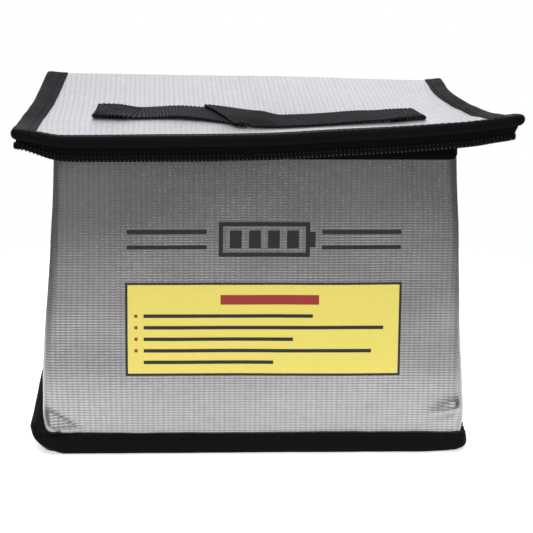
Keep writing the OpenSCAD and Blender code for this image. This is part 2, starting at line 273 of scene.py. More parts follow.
class Field:
    """A value in a shader's node tree that can be used in ordinary arithmetic."""

    def __init__(self, tree, socket):
        self.tree = tree
        self.socket = socket

    def operate(self, operation, *others, clamp=False):
        node = self.tree.nodes.new("ShaderNodeMath")
        node.operation = operation
        node.use_clamp = clamp
        for slot, value in enumerate((self,) + others):
            if isinstance(value, Field):
                self.tree.links.new(value.socket, node.inputs[slot])
            else:
                node.inputs[slot].default_value = value
        return Field(self.tree, node.outputs[0])

    def __add__(self, other):
        return self.operate("ADD", other)

    def __sub__(self, other):
        return self.operate("SUBTRACT", other)

    def __mul__(self, other):
        return self.operate("MULTIPLY", other)

    def __truediv__(self, other):
        return self.operate("DIVIDE", other)

    def sin(self):
        return self.operate("SINE")

    def abs(self):
        return self.operate("ABSOLUTE")

    def power(self, exponent):
        return self.operate("POWER", exponent)

    def clamp(self):
        return self.operate("ADD", 0.0, clamp=True)


class Surface:
    """A Principled material that is being built."""

    def __init__(self, name):
        self.material = bpy.data.materials.new(name)
        self.material.use_nodes = True
        self.tree = self.material.node_tree
        self.shader = self.tree.nodes["Principled BSDF"]

    def weave(self):
        """Place on the cloth in millimetres, as two fields."""
        attribute = self.tree.nodes.new("ShaderNodeAttribute")
        attribute.attribute_name = "weave"
        split = self.tree.nodes.new("ShaderNodeSeparateXYZ")
        self.tree.links.new(attribute.outputs["Vector"], split.inputs[0])
        return Field(self.tree, split.outputs[0]), Field(self.tree, split.outputs[1])

    def noise(self, scale, detail=2.0):
        """Noise from 0 to 1 in the object's own space; scale is per metre."""
        place = self.tree.nodes.new("ShaderNodeTexCoord")
        texture = self.tree.nodes.new("ShaderNodeTexNoise")
        texture.inputs["Scale"].default_value = scale
        texture.inputs["Detail"].default_value = detail
        self.tree.links.new(place.outputs["Object"], texture.inputs["Vector"])
        return Field(self.tree, texture.outputs["Fac"])

    def put(self, slot, value):
        """Sets a slot of the shader to a value or a field."""
        if isinstance(value, Field):
            self.tree.links.new(value.socket, self.shader.inputs[slot])
        else:
            self.shader.inputs[slot].default_value = value

    def colour(self, factor, low, high):
        """Base colour that runs from low to high with a field."""
        mix = self.tree.nodes.new("ShaderNodeMix")
        mix.data_type = "RGBA"
        mix.inputs["A"].default_value = (*low, 1)
        mix.inputs["B"].default_value = (*high, 1)
        self.tree.links.new(factor.clamp().socket, mix.inputs["Factor"])
        self.tree.links.new(mix.outputs["Result"], self.shader.inputs["Base Color"])

    def relief(self, height, depth_mm, strength=1.0):
        """Bump from a field, with full height equal to depth_mm."""
        node = self.tree.nodes.new("ShaderNodeBump")
        node.inputs["Strength"].default_value = strength
        node.inputs["Distance"].default_value = depth_mm * MM
        self.tree.links.new(height.socket, node.inputs["Height"])
        self.tree.links.new(node.outputs["Normal"], self.shader.inputs["Normal"])


def cloth_height(surface):
    """Woven relief: short horizontal floats in pairs of columns, slightly staggered."""
    u, v = surface.weave()
    column = u / 2.62
    row = v / 1.43 + (column * math.pi).sin() * 0.05
    float_shape = (row * math.pi).sin().abs().power(0.6)
    gap = (column * math.pi).sin().abs().power(0.35)
    pair = (column * (math.pi / 2)).sin().abs().power(0.15)
    irregular = surface.noise(260)
    return float_shape * (gap * 0.6 + 0.4) * (pair * 0.25 + 0.75) * (irregular * 0.6 + 0.7)


def silver_cloth():
    s = Surface("silver_cloth")
    height = cloth_height(s)
    patch = s.noise(9, 3.0)
    # Base colour follows the weave relief: the raised floats are painted brighter as a painted highlight
    # and the gaps between the columns darker as painted shade; the broad patches are tone that differs at
    # random.
    s.colour(height * 0.95 + patch * 0.3 - 0.1, (0.175, 0.171, 0.176), (0.49, 0.49, 0.507))
    s.put("Metallic", 0.95)
    s.put("Roughness", height * -0.1 + patch * 0.1 + 0.33)
    s.relief(height, 0.09, 0.7)
    return s.material


def printed_cloth(name, colour, roughness=0.45):
    s = Surface(name)
    height = cloth_height(s)
    low = tuple(c * 0.95 for c in colour)
    s.colour(height, low, colour)
    s.put("Roughness", roughness)
    s.relief(height, 0.06, 0.35)
    return s.material


def lining_cloth():
    s = Surface("lining_cloth")
    u, v = s.weave()
    weft = (u * (math.pi / 1.1)).sin().abs()
    warp = (v * (math.pi / 1.1)).sin().abs()
    height = weft * warp + s.noise(180) * 0.3
    s.colour(height, (0.34, 0.35, 0.36), (0.62, 0.63, 0.64))
    s.put("Roughness", 0.7)
    s.put("Metallic", 0.15)
    s.relief(height, 0.12, 0.7)
    return s.material


def felt():
    s = Surface("felt")
    fuzz = s.noise(900, 4.0)
    s.colour(fuzz, (0.62, 0.6, 0.55), (0.86, 0.85, 0.81))
    s.put("Roughness", 0.95)
    s.relief(fuzz, 0.3)
    return s.material


def binding_tape():
    s = Surface("binding_tape")
    u, v = s.weave()
    rib = (u * (math.pi / 0.55)).sin().abs().power(0.6)
    cross = (v * (math.pi / 0.9)).sin().abs() * 0.25 + 0.75
    height = rib * cross + s.noise(500) * 0.25
    s.colour(height * 0.7 + s.noise(30) * 0.3, (0.0025, 0.0025, 0.0027), (0.0095, 0.0092, 0.0098))
    s.put("Roughness", 0.62)
    s.put("Specular IOR Level", 0.02)
    s.put("Sheen Weight", 0.14)
    s.put("Sheen Roughness", 0.25)
    s.put("Sheen Tint", (0.85, 0.82, 0.9, 1))
    s.relief(height, 0.12, 0.6)
    return s.material


def webbing():
    s = Surface("webbing")
    u, v = s.weave()
    rib = (u * (math.pi / RIB)).sin().abs().power(4.0)
    twill = ((u * 1.2 + v * 1.2) * math.pi).sin().abs().power(0.6)
    height = rib * (twill * 0.35 + 0.65) + s.noise(700) * 0.2
    # Base colour follows the ribs: the crests are painted lighter as a painted highlight and the grooves
    # near black as painted shade of the ribs.
    s.colour(height, (0.0004, 0.0004, 0.0005), (0.046, 0.0435, 0.049))
    s.put("Roughness", 0.6)
    s.put("Specular IOR Level", 0.02)
    s.put("Sheen Weight", 0.01)
    s.put("Sheen Roughness", 0.3)
    s.relief(height, 0.3, 0.9)
    return s.material


def zip_tape():
    s = Surface("zip_tape")
    u, v = s.weave()
    knit = (u * (math.pi / 0.8)).sin().abs() * (v * (math.pi / 0.6)).sin().abs().power(0.5)
    s.colour(knit, (0.003, 0.003, 0.0035), (0.008, 0.008, 0.009))
    s.put("Specular IOR Level", 0.03)
    s.put("Roughness", 0.8)
    s.relief(knit, 0.1, 0.6)
    return s.material


def coil_nylon():
    s = Surface("coil_nylon")
    wear = s.noise(300, 3.0)
    s.colour(wear, (0.0015, 0.0015, 0.0017), (0.004, 0.004, 0.0045))
    s.put("Roughness", wear * 0.1 + 0.14)
    s.put("Specular IOR Level", 0.36)
    return s.material


def thread():
    s = Surface("thread")
    twist = s.noise(1500)
    s.colour(twist, (0.002, 0.002, 0.0022), (0.009, 0.009, 0.01))
    s.put("Roughness", 0.8)
    s.put("Specular IOR Level", 0.06)
    s.relief(twist, 0.06)
    return s.material


def enamel():
    s = Surface("enamel")
    wear = s.noise(400, 4.0)
    s.colour(wear.power(3.0), (0.012, 0.012, 0.013), (0.06, 0.06, 0.06))
    s.put("Metallic", 0.6)
    s.put("Roughness", wear * 0.2 + 0.25)
    s.relief(wear, 0.02)
    return s.material


def floor_paper():
    s = Surface("floor_paper")
    grain = s.noise(60)
    s.colour(grain, (0.93, 0.93, 0.93), (0.95, 0.95, 0.95))
    s.put("Emission Color", (1, 1, 1, 1))
    s.put("Emission Strength", 0.57)
    s.put("Roughness", 0.9)
    s.put("Specular IOR Level", 0.1)
    return s.material


SILVER = silver_cloth()
LINING_CLOTH = lining_cloth()
FELT_PAD = felt()
BINDING = binding_tape()
WEBBING = webbing()
ZIP_TAPE = zip_tape()
COIL = coil_nylon()
THREAD = thread()
ENAMEL = enamel()
YELLOW = printed_cloth("yellow_print", (0.9, 0.78, 0.16))
BLACK_PRINT = printed_cloth("black_print", (0.012, 0.012, 0.013), 0.5)
RED_PRINT = printed_cloth("red_print", (0.36, 0.03, 0.02), 0.5)


# ---------------------------------------------------------------- shape of the walls

# The direction in which each side points; its own direction along the wall is a quarter turn from it.
SIDES = {"front": (0, -1), "right": (1, 0), "back": (0, 1), "left": (-1, 0)}


def half_width(z):
    """Half width of the bag at height z."""
    return BASE_HALF_W + (TOP_HALF_W - BASE_HALF_W) * z / CLOTH_TOP


def front_depth(z):
    """Distance of the front wall from the centre at height z."""
    return BASE_HALF_D + (TOP_FRONT - BASE_HALF_D) * z / CLOTH_TOP


def back_depth(z):
    """Distance of the back wall from the centre at height z."""
    return BASE_HALF_D + (HINGE_Y - BASE_HALF_D) * z / CLOTH_TOP


def side_frame(side, z):
    """Distance of a side from the centre, its half length and its centre along it, at heights z."""
    front, back, half = front_depth(z), back_depth(z), half_width(z)
    if side in ("front", "back"):
        return front if side == "front" else back, half, 0 * z
    middle = (back - front) / 2
    return half, (back + front) / 2, middle if side == "right" else -middle


def stations(side, step):
    """Places along one side, mid corner to mid corner: share of the straight part and corner angle."""
    arc = np.linspace(math.pi / 4, 0, 6)
    length = 2 * (BASE_HALF_W if side in ("front", "back") else BASE_HALF_D)
    count = max(4, int(length / step))
    share = np.concatenate([-np.ones(5), np.linspace(-1, 1, count), np.ones(5)])
    angle = np.concatenate([-arc[:5], np.zeros(count), arc[:5][::-1]])
    return share, angle


def body_sway(points):
    """Leaning of the limp body: the left wall sags outwards, the right one falls in at its front top."""
    x, y, z = points[..., 0], points[..., 1], points[..., 2]
    left = smooth((-x - 55) / 45) * bump(z, 55, 46)
    right = smooth((x - 55) / 40) * smooth((z - 118) / 36) * smooth((-54 - y) / 18)
    moved = np.array(points)
    moved[..., 0] -= 2.4 * left + 2.2 * right
    return moved


def corner_creases(side, points):
    """Creases just above the base seam: at the front, a facet to the left and a ridge to the right."""
    x, y, z = points[..., 0], points[..., 1], points[..., 2]
    if side != "front":
        return 0.6 * bump(np.abs(x) + np.abs(y), BASE_HALF_W + BASE_HALF_D, 16) * bump(z, 20, 9)
    fold = 25.5 - 0.6 * (x + BASE_HALF_W)
    facet = np.clip(fold - z, 0, 9) * 0.42 * smooth((z - 8.5) / 4.5) * smooth((-x - 84) / 12)
    crest = 21.0 + 0.3 * (x - 95)
    ridge = 2.3 * np.exp(-np.abs((z - crest) / 3.4) ** 1.6) * smooth((x - 80) / 24)
    dent = -0.8 * bump(x, 97, 12) * bump(z, 15, 5)
    return facet + ridge + dent


def relief_mm(side, points):
    """How far the cloth stands out from its flat panel: tucked in at the base seam and full above it."""
    z = points[..., 2]
    full = 1.2 * bump(z, 36, 26) - 0.5 * bump(z, 6, 7)
    slack = 0.8 * ripple(points, 62, 1) + 0.3 * ripple(points, 24, 2)
    drum = 0.25 * ripple(points, 11, 3) * bump(z, 18, 16)
    free = smooth((CLOTH_TOP - z) / 30)
    return (full + slack + drum) * free + corner_creases(side, points)


def wall_grid(side, heights, step, depth=0.0):
    """Points of one wall's surface, moved in by depth, with their places on the cloth."""
    z = np.asarray(heights, float)[:, None]
    distance, half, middle = side_frame(side, z)
    share, angle = stations(side, step)
    straight = half - WALL_RADIUS
    along = straight * share + WALL_RADIUS * np.sin(angle)
    out = distance - WALL_RADIUS + WALL_RADIUS * np.cos(angle)
    n = np.array(SIDES[side], float)
    t = np.array((-n[1], n[0]))
    normal = n * np.cos(angle)[:, None] + t * np.sin(angle)[:, None]
    points = np.empty(along.shape + (3,))
    points[..., :2] = t * (along + middle)[..., None] + n * out[..., None]
    points[..., 2] = z
    corner = np.abs(angle) / (math.pi / 4)
    stand = relief_mm(side, points) * (1 - corner ** 2) + corner_stand(points) * corner ** 2 - depth
    points[..., :2] += normal[None, :, :] * stand[..., None]
    u = along + WALL_RADIUS * (angle - np.sin(angle))
    weave = np.stack([u, np.broadcast_to(z, u.shape)], -1)
    return body_sway(points), weave


def corner_stand(points):
    """Relief shared by both walls on their common corner line."""
    z = points[..., 2]
    full = 1.1 * bump(z, 36, 24) - 0.4 * bump(z, 6, 7) + 1.6 * bump(z, 17, 8)
    return full * smooth((CLOTH_TOP - z) / 30)


def body_ring(sides, z, depth, step):
    """Row of points round several walls at one height and depth."""
    rows = []
    for side in sides:
        points, _ = wall_grid(side, [z], step, depth)
        rows.append(points[0] if side == sides[-1] else points[0][:-1])
    return np.concatenate(rows)


def wall_layer(name, side, z0, z1, depths, step, material, slot, node):
    """One layer of one wall, as a closed sheet between two depths."""
    count = max(4, int((z1 - z0) / step))
    heights = np.linspace(z0, z1, count)
    outer, weave = wall_grid(side, heights, step, depths[0])
    inner, _ = wall_grid(side, heights, step, depths[1])
    if side in ("left", "right"):
        for layer in (outer, inner):
            layer[..., 2] -= 1.3 * smooth((layer[..., 1] + 70) / 18) * smooth((layer[..., 2] - 140) / 14)
    enlist(slab(name, outer, inner, material, weave), slot, node, body="bag")


def build_walls():
    for side in SIDES:
        node = side if side in ("front", "back") else side + "_side"
        top = BACK_TOP if side == "back" else CLOTH_TOP
        layers = [("cloth", 1.0, top, (0, CLOTH_T), 1.6, SILVER, "outer_cloth", "_panel")]
        layers.append(("felt_layer", 1.0, PADDING_TOP, FELT, 4, FELT_PAD, "felt", "_felt"))
        layers.append(("lining_cloth", 4.4, PADDING_TOP, LINING, 2.5, LINING_CLOTH, "lining", "_lining"))
        for name, low, high, depths, step, material, slot, kind in layers:
            wall_layer(f"{side}_{name}", side, low, high, depths, step, material, slot, node + kind)


def base_sheet(name, node, inset, heights, step, material, slot, puff, seed):
    """Horizontal sheet in the base, with rounded corners and a slightly uneven surface."""
    half_w, half_d = BASE_HALF_W - inset, BASE_HALF_D - inset
    u = np.linspace(-1, 1, int(2 * half_w / step))
    v = np.linspace(-1, 1, int(2 * half_d / step))
    a, b = np.meshgrid(u, v)
    corner = smooth((np.abs(a) - 0.9) / 0.1) * smooth((np.abs(b) - 0.9) / 0.1)
    x = a * (half_w - 3 * corner)
    y = b * (half_d - 3 * corner)
    flat = np.stack([x, y, np.zeros(x.shape)], -1)
    rise = puff * (ripple(flat, 45, seed) + 0.5 * ripple(flat, 18, seed + 1))
    rise = rise * smooth((1 - np.abs(a)) * half_w / 12) * smooth((1 - np.abs(b)) * half_d / 12)
    top, bottom = flat.copy(), flat.copy()
    bottom[..., 2] = heights[0] + rise * 0.3
    top[..., 2] = heights[1] + rise
    enlist(slab(name, top, bottom, material, flat[..., :2]), slot, node, body="bag")


def build_base():
    base_sheet("base_cloth", "base_panel", 0.9, (0.05, 0.75), 2.5, SILVER, "outer_cloth", 0.1, 31)
    base_sheet("base_felt_layer", "base_pad", 3.2, (0.9, 3.3), 4, FELT_PAD, "felt", 0.2, 33)
    base_sheet("base_lining_cloth", "base_lining", 3.2, (3.5, 4.0), 2.5, LINING_CLOTH, "lining", 0.5, 35)


def build_corner_tapes():
    """Tape sewn over each upright seam on the inside."""
    low, high = box_mm("corner_seam_tapes")
    heights = np.linspace(low[2], high[2], 60)
    strips = []
    names = list(SIDES)
    for k, side in enumerate(names):
        following = names[(k + 1) % 4]
        faces = []
        for depth in (LINING[1] + 0.15, LINING[1] + 0.75):
            a, _ = wall_grid(side, heights, 1.6, depth)
            b, _ = wall_grid(following, heights, 1.6, depth)
            faces.append(np.concatenate([a[:, -10:-1], b[:, :10]], axis=1))
        across = np.linspace(-7, 7, faces[0].shape[1])
        strips.append(slab("strip", *faces, BINDING, plaid(heights, across)))
    enlist(merge("corner_tape_strips", strips), "binding", "corner_seam_tapes", body="bag")


def build_rim_binding():
    """Tape folded over the top edges of the padding and the lining, with its stitches."""
    low, _ = box_mm("rim_binding")
    top = PADDING_TOP
    section = [(0.72, top - 5), (0.68, top - 0.5), (0.75, top + 0.4), (1.2, top + 0.75), (2.2, top + 0.8)]
    section += [(3.1, top + 0.5), (3.55, top - 0.3), (3.6, low[2] + 0.4), (3.3, low[2])]
    section += [(2.9, low[2] + 0.4), (2.9, top - 0.6), (2.4, top + 0.1), (1.3, top + 0.1), (1.0, top - 5)]
    rings = np.stack([body_ring(list(SIDES), z, d, 2.5) for d, z in section], 1)[:-1]
    path = body_ring(list(SIDES), low[2] + 2.4, 3.62, 2.5)
    weave = plaid(lengths_along(path)[:-1], lengths_along(section))
    obj = tube("rim_edge_binding", rings, BINDING, weave, loop=True)
    sharpen(obj)
    enlist(obj, "binding", "rim_binding", body="bag")
    inward = body_ring(list(SIDES), low[2] + 2.4, 5.0, 2.5) - path
    seam = stitches("rim_stitches", path, inward, pitch=3.4, length=2.5, radius=0.22)
    enlist(seam, "thread", "rim_binding_thread", body="bag")


# ---------------------------------------------------------------- shape of the lid

def lid_half(y, inset=0.0):
    """Half width of the flat lid at depth y."""
    return LID_REAR_HALF + (LID_REAR - y) * LID_SLOPE * LID_SPREAD - inset


def lid_share(y):
    """0 at the rear fold of the lid, 1 at its front edge."""
    return (LID_REAR - y) / LID_LENGTH


def lid_warp(points):
    """Bends the flat lid as the soft one lies: sagging in the middle, drawn up at its front corners."""
    p = np.array(points, float)
    x, y = p[..., 0], p[..., 1]
    t = np.clip(lid_share(y), -0.05, 1.05)
    right = smooth((x - 60) / 65)
    left = smooth((-x - 60) / 60)
    right_tip = smooth((x - 95) / 32) * smooth((t - 0.55) / 0.45)
    left_tip = smooth((-x - 97) / 25) * smooth((t - 0.7) / 0.3)
    hollow = 2.3 * smooth((t - 0.3) / 0.48) * (1 - smooth((t - 0.79) / 0.13))
    hollow *= smooth((x + 30) / 45) * (1 - 0.6 * smooth((x - 62) / 30))
    rear = 0.9 + 1.1 * smooth(-x / 105) - 2.1 * smooth(x / 105)
    climb = x + 5.5
    front = 0.035 * (climb + np.sqrt(climb ** 2 + 400)) - 0.7
    towards_side = 0.25 + 0.75 * smooth((np.abs(x) - 35) / 70)
    sag = 3.0 * np.sin(math.pi * np.clip(t, 0, 1)) * towards_side + 1.1 * right * bump(t, 0.61, 0.22)
    flat = np.stack([x, y, 0 * x], -1)
    waves = 0.3 * ripple(flat, 34, 5) + 0.5 * smooth((np.abs(x) - 88) / 22) * ripple(flat, 15, 6)
    p[..., 0] += -1.3 + 3.3 * t + right * (1 + 4.5 * smooth(t) - 6 * bump(t, 0.3, 0.28)) + 2.0 * right_tip
    p[..., 0] -= left * (2.2 - 2.8 * smooth(t / 0.95) + 2.8 * bump(t, 0.7, 0.24))
    p[..., 1] += 4 * right * t
    p[..., 2] += LID_RISE + rear * (1 - t) + front * t - sag - hollow + 2.2 * right_tip + 3.8 * left_tip
    p[..., 2] += waves * smooth(t / 0.15)
    return p


def lid_outline(inset, rear, arc=7):
    """Flat outline of the lid from rear left round the front to rear right."""
    tilt = math.atan(LID_SLOPE)
    r = max(LID_RADIUS - inset, 0.4)
    cy = -LID_FRONT + inset + r
    cx = lid_half(cy, inset / math.cos(tilt)) - r / math.cos(tilt)
    angles = tilt - (math.pi / 2 + tilt) * np.linspace(0, 1, arc)
    left = np.stack([-cx - r * np.cos(angles), cy + r * np.sin(angles)], -1)
    right = np.stack([cx + r * np.cos(angles), cy + r * np.sin(angles)], -1)[::-1]
    ends = lid_half(rear, inset / math.cos(tilt))
    return np.concatenate([[[-ends, rear]], left, right, [[ends, rear]]])


def lid_outlines(insets, rear, step):
    """The same number of points along the outlines at several insets, so that they can be joined."""
    legs = []
    base = lid_outline(0, rear)
    split = [0, 1, len(base) // 2 - 1, len(base) // 2, len(base) - 2, len(base) - 1]
    for inset in insets:
        points = lid_outline(inset, rear)
        parts = []
        for a, b in zip(split, split[1:]):
            piece = points[a:b + 1]
            if b - a == 1:
                count = max(2, int(np.linalg.norm(base[b] - base[a]) / step))
                piece = piece[0] + (piece[1] - piece[0]) * np.linspace(0, 1, count)[:, None]
            parts.append(piece[:-1] if b != split[-1] else piece)
        legs.append(np.concatenate(parts))
    return np.array(legs)


def lid_sheet(name, node, inset, step, material, slot):
    """One flat layer of the lid, warped."""
    low, high = box_mm(node)
    rows = int(LID_LENGTH / step)
    columns = int(2 * LID_FRONT_HALF / step)
    y = np.linspace(LID_REAR, -LID_FRONT + inset, rows)[:, None]
    s = np.linspace(-1, 1, columns)[None, :]
    x = lid_half(y, inset) * s
    flat = np.stack([x, np.broadcast_to(y, x.shape), np.full(x.shape, high[2])], -1)
    outer = lid_warp(flat)
    inner = outer - (0, 0, high[2] - low[2])
    enlist(slab(name, outer, inner, material, flat[..., :2]), slot, node, body="lid")


def build_lid_layers():
    lid_sheet("lid_cloth", "lid_panel", 2.2, 1.6, SILVER, "outer_cloth")
    lid_sheet("lid_felt_layer", "lid_felt", 2.4, 4, FELT_PAD, "felt")
    lid_sheet("lid_lining_cloth", "lid_lining", 2.4, 2.5, LINING_CLOTH, "lining")


def build_lid_binding():
    """Tape folded over the lid's edge: a flat leg above and below and a full rounded edge."""
    width = 10.3
    mid = (LID_BINDING_LOW[2] + LID_BINDING_HIGH[2]) / 2
    half = (LID_BINDING_HIGH[2] - LID_BINDING_LOW[2]) / 2
    upper_leg = [(width, half - 0.45), (width - 0.2, half - 0.05), (6.5, half + 0.15), (4, half + 0.55)]
    turn = np.radians(np.linspace(75, -75, 7))
    section = upper_leg + [(2.3 - 2.3 * math.cos(a), (half + 0.75) * math.sin(a)) for a in turn]
    section += [(d, -rise) for d, rise in reversed(upper_leg)]
    section += [(width - 0.8, -half + 0.55), (2.0, -half + 0.6)]
    section += [(2.0, half - 0.6), (width - 0.8, half - 0.55)]
    paths = lid_outlines([d for d, _ in section], LID_REAR, 2.0)
    rings = np.empty((paths.shape[1], len(section), 3))
    for j, (_, rise) in enumerate(section):
        rings[:, j, :2] = paths[j]
        rings[:, j, 2] = mid + rise
    upper = rings[..., 2] > mid + half - 0.7
    reach = np.array([max(0, d - 4) / (width - 4) for d, _ in section])
    wider = 1.5 * smooth((-rings[..., 0] - 96) / 5)
    rings[..., 0] += upper * reach * wider
    weave = plaid(lengths_along(paths[len(section) // 3]), lengths_along(section))
    obj = tube("lid_edge_binding", lid_warp(rings), BINDING, weave)
    sharpen(obj)
    enlist(obj, "binding", "lid_binding", body="lid")
    seam = resample(lid_outline(8.4, LID_REAR - 1), 1.5)[0]
    above = lid_warp(np.concatenate([seam, np.full((len(seam), 1), mid + half + 0.1)], 1))
    upward = np.tile((0, 0, 1.0), (len(seam), 1))
    row = stitches("lid_binding_stitches", above, upward, pitch=3.4, length=2.6, radius=0.2)
    enlist(row, "thread", "lid_binding_thread", body="lid")


def tape_fall(path):
    """How much of the lid tape's full drop hangs at each point: less where the corners draw it up."""
    x, y = path[:, 0], path[:, 1]
    corner = bump(-x, LID_FRONT_HALF, 16) * bump(y, -LID_FRONT, 16)
    return 1 - 0.45 * corner


def lid_zip_point(path, z):
    """Places flat zip points under the warped lid: path in plan, z the flat height."""
    top = LID_TAPE_HIGH[2]
    fall = tape_fall(path)
    flat = np.concatenate([path, (top + (z - top) * fall)[:, None]], 1)
    points = lid_warp(flat)
    hanging = np.clip((top - z) / (top - LID_COIL_LOW[2]), 0, 1)
    corner = smooth((path[:, 0] - 88) / 30) * smooth((-path[:, 1] - 40) / 40)
    points[:, 0] -= 4.5 * hanging * corner
    return points


def build_lid_zip():
    """Zip tape that hangs from the lid's edge, with its coil along the outside of the lower edge."""
    inset = 2.9
    thickness = 0.8
    rear = box_mm("lid_zip_stops")[1][1]
    coil_z = LID_COIL_HIGH[2] - 0.2
    levels = np.linspace(LID_TAPE_HIGH[2] + 0.6, coil_z - 1.9, 7)
    paths = lid_outlines([inset - thickness / 2, inset + thickness / 2], rear, 2.5)
    outer = np.stack([lid_zip_point(paths[0], np.full(paths.shape[1], z)) for z in levels])
    inner = np.stack([lid_zip_point(paths[1], np.full(paths.shape[1], z)) for z in levels])
    weave = plaid(levels, lengths_along(paths[0]))[..., ::-1]
    tape = slab("lid_zip_band", outer, inner, ZIP_TAPE, weave)
    enlist(tape, "zip_tape", "lid_zip_tape", body="lid")
    path, _ = resample(lid_outline(inset - 0.7, rear - 2.7, arc=15), 0.5)
    centre = lid_zip_point(path, np.full(len(path), coil_z))
    coil = spiral_coil("lid_coil", centre, 3.7, thick=2.1, wire=0.36)
    enlist(coil, "zip_coil", "lid_zip_coil", body="lid")
    ends = [centre[0] + (0, 1.2, 0), centre[-1] + (0, 1.2, 0)]
    build_stops("lid_end_stops", ends, "lid", "lid_zip_stops")


def build_stops(name, centres, body, node):
    """Metal stops crimped over the ends of a coil."""
    parts = []
    for centre in centres:
        loop = rounded_loop(2.6, 4.6, 0.8)
        part = curve_plate("stop", [loop], 3.0, 0.45, ENAMEL)
        part.data.transform(Matrix.Translation(Vector(centre) * MM) @ TURN_TO_SIDE)
        parts.append(part)
    enlist(merge(name, parts), "slider_metal", node, body=body)


TURN_TO_SIDE = Matrix(((0, 0, 1, 0), (1, 0, 0, 0), (0, 1, 0, 0), (0, 0, 0, 1)))


def rounded_loop(width, height, radius, cy=0.0, arc=6):
    """Closed outline of a rounded rectangle."""
    points = []
    for k, (sx, sy) in enumerate(((1, 1), (-1, 1), (-1, -1), (1, -1))):
        for a in np.linspace(0, math.pi / 2, arc) + k * math.pi / 2:
            x = sx * (width / 2 - radius) + radius * math.cos(a)
            y = cy + sy * (height / 2 - radius) + radius * math.sin(a)
            points.append((x, y))
    return points


def round_loop(radius, cy=0.0, count=24):
    """Closed round outline."""
    angles = np.linspace(0, 2 * math.pi, count, endpoint=False)
    return [(radius * math.cos(a), cy + radius * math.sin(a)) for a in angles]


def curve_plate(name, loops, thickness, bevel, material):
    """Flat plate with holes and rounded edges, centred on the XY plane; its outlines are in millimetres."""
    curve = bpy.data.curves.new(name, "CURVE")
    curve.dimensions = "2D"
    curve.fill_mode = "BOTH"
    curve.extrude = (thickness / 2 - bevel) * MM
    curve.bevel_depth = bevel * MM
    curve.bevel_resolution = 2
    curve.offset = -bevel * MM
    for loop in loops:
        spline = curve.splines.new("POLY")
        spline.points.add(len(loop) - 1)
        for point, (x, y) in zip(spline.points, loop):
            point.co = (x * MM, y * MM, 0, 1)
        spline.use_cyclic_u = True
    source = bpy.data.objects.new(name, curve)
    bpy.context.scene.collection.objects.link(source)
    shape = bpy.context.evaluated_depsgraph_get()
    mesh = bpy.data.meshes.new_from_object(source.evaluated_get(shape))
    bpy.data.objects.remove(source)
    obj = bpy.data.objects.new(name, mesh)
    bpy.context.scene.collection.objects.link(obj)
    fix_normals(obj, weld=1e-6)
    mesh.materials.clear()
    mesh.materials.append(material)
    mesh.polygons.foreach_set("use_smooth", [True] * len(mesh.polygons))
    sharpen(obj, 40)
    return obj


def spiral_coil(name, centre, height, pitch=2.0, thick=2.3, wire=0.42):
    """Flattened nylon spiral along a centre line, upright outside and slanted behind, round a cord."""
    path, at = resample(centre, pitch / 14)
    t = tangents(path)
    out = unit(np.cross(t, (0, 0, 1)))
    up = np.cross(out, t)
    phase = at / pitch * 2 * math.pi
    climb = np.sin(phase) * (height / 2 - wire)
    lean = -pitch / 4 * np.sin(phase)
    bulge = np.sign(np.cos(phase)) * np.abs(np.cos(phase)) ** 0.5 * (thick / 2 - wire)
    line = path + up * climb[:, None] + t * lean[:, None] + out * bulge[:, None]
    wire_t = tangents(line)
    side = unit(np.cross(wire_t, out))
    spiral = tube(name, round_rings(line, side, np.cross(side, wire_t), wire, 6), COIL)
    cord_path, _ = resample(centre, 2.0)
    cord_out = unit(np.cross(tangents(cord_path), (0, 0, 1)))
    cord_up = np.tile((0, 0, 2.2), (len(cord_path), 1))
    cord = tube(name + "_cord", round_rings(cord_path, cord_out, cord_up, 0.5, 8), THREAD)
    return merge(name, [spiral, cord])


# ---------------------------------------------------------------- body zip and bindings

def build_body_zip():
    """Zip tape sewn inside the walls' top edge, with its coil standing above the cloth."""
    rear = ZIP_HIGH[1]
    open_sides = ["left", "front", "right"]
    levels = np.linspace(PADDING_TOP + 1.0, COIL_HIGH[2] - 0.7, 8)
    keep = body_ring(open_sides, CLOTH_TOP, 0.75, 2.5)[:, 1] < rear
    over = smooth((levels - CLOTH_TOP + 1) / 2.5)
    outer = np.stack([body_ring(open_sides, z, 0.74 - 1.09 * k, 2.5)[keep] for z, k in zip(levels, over)])
    inner = np.stack([body_ring(open_sides, z, 1.5 - 1.05 * k, 2.5)[keep] for z, k in zip(levels, over)])
    weave = plaid(levels, lengths_along(outer[0]))[..., ::-1]
    tape = slab("rim_zip_band", outer, inner, ZIP_TAPE, weave)
    enlist(tape, "zip_tape", "body_zip_tape", body="bag")
    middle = (COIL_LOW[2] + COIL_HIGH[2]) / 2
    ring = body_ring(open_sides, middle, 1.55, 1.2)
    ring = ring[ring[:, 1] < COIL_HIGH[1]]
    coil = spiral_coil("rim_coil", resample(ring, 0.5)[0], COIL_HIGH[2] - COIL_LOW[2], thick=1.9, wire=0.38)
    enlist(coil, "zip_coil", "body_zip_coil", body="bag")
    build_stops("rim_end_stops", [ring[0] + (0, 1.6, 0), ring[-1] + (0, 1.6, 0)], "bag", "body_zip_stops")


def base_outline(offset, step=2.0):
    """Closed plan of the base moved out by offset, with rounded corners."""
    r = 5.0 + max(offset, -4)
    cx, cy = BASE_HALF_W - 5.0, BASE_HALF_D - 5.0
    arc = np.linspace(0, math.pi / 2, 9)
    corners = []
    for k, (sx, sy) in enumerate(((1, -1), (1, 1), (-1, 1), (-1, -1))):
        a = arc + (k - 1) * math.pi / 2
        corners.append(np.stack([sx * cx + r * np.cos(a), sy * cy + r * np.sin(a)], -1))
    lengths = [2 * cy, 2 * cx, 2 * cy, 2 * cx]
    out = []
    for k in range(4):
        a, b = corners[k], corners[(k + 1) % 4]
        out.append(a)
        count = max(3, int(lengths[k] / step))
        out.append(a[-1] + (b[0] - a[-1]) * np.linspace(0, 1, count)[1:-1, None])
    return np.concatenate(out)


